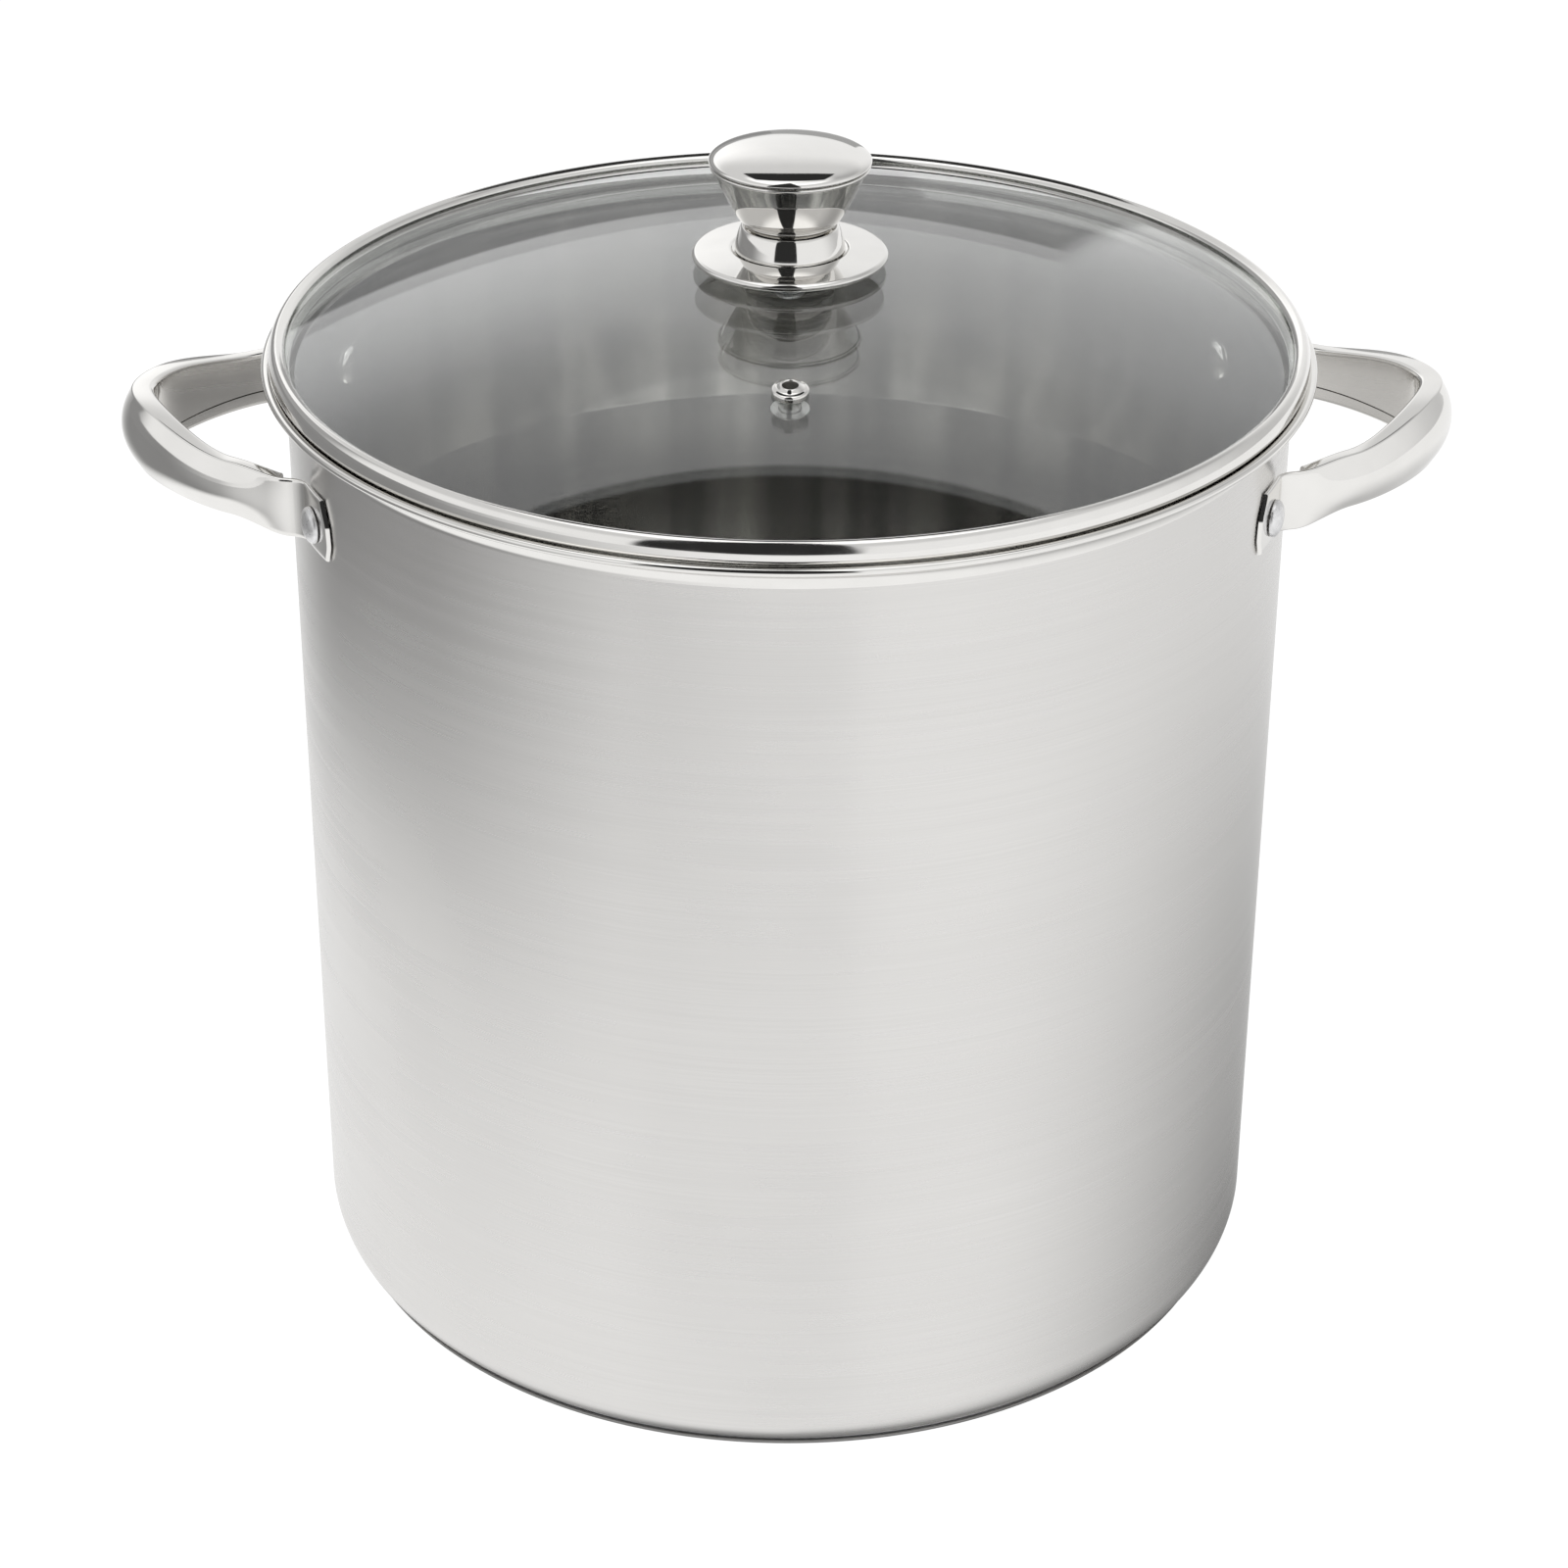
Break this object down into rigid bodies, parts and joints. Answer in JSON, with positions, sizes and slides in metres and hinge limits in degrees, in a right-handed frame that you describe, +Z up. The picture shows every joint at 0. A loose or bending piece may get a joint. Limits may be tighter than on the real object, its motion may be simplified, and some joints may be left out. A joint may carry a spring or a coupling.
{
  "type": "stock pot",
  "caption": "Tall steel stock pot with an encapsulated base, riveted folded-sheet loop handles and a domed glass lid with a steam vent and a hollow knob.",
  "frame": {"origin": "centre of the underside of the base, on the pot's axis", "axes": "+Z up along the pot's axis, +X through the right-hand handle, -Y towards the side the lid's vent faces"},
  "size_m": [0.4012, 0.314, 0.3618],
  "materials": {
    "brushed_body": "fine circumferential brushing, satin",
    "base_steel": "satin stainless dish",
    "base_aluminium": "as pressed",
    "polished_steel": "mirror-polished stainless steel, not plated",
    "rivet_steel": "matt, lightly pebbled",
    "fastener_steel": "zinc-bright",
    "lid_glass": "clear tempered glass, faint green-grey tint",
    "silicone": "translucent grey silicone"
  },
  "bodies": {
    "pot": {"pot_body": "brushed_body", "base_core": "base_aluminium", "base_cap": "base_steel", "handle_left": "polished_steel", "handle_right": "polished_steel", "rivet_left_front": "rivet_steel", "rivet_left_rear": "rivet_steel", "rivet_right_front": "rivet_steel", "rivet_right_rear": "rivet_steel"},
    "lid_ring": {"lid_rim": "polished_steel"},
    "lid": {"lid_glass": "lid_glass", "vent_eyelet": "polished_steel", "vent_back_ring": "polished_steel", "knob_cap": "polished_steel", "knob_cup": "polished_steel", "knob_collar": "polished_steel", "knob_flange": "polished_steel", "knob_insert": "fastener_steel", "knob_screw": "fastener_steel", "spring_washer": "fastener_steel", "screw_washer": "fastener_steel", "gasket_bottom": "silicone", "gasket_top": "silicone"}
  },
  "joints": [
    {"name": "lid_lift", "type": "slide", "parent": "pot", "child": "lid_ring", "axis": [0, 0, 1], "range_m": [0, 0.15]},
    {"name": "lid_turn", "type": "hinge", "parent": "lid_ring", "child": "lid", "pos_m": [0, 0, 0.3], "axis": [0, 0, 1], "continuous": true}
  ]
}
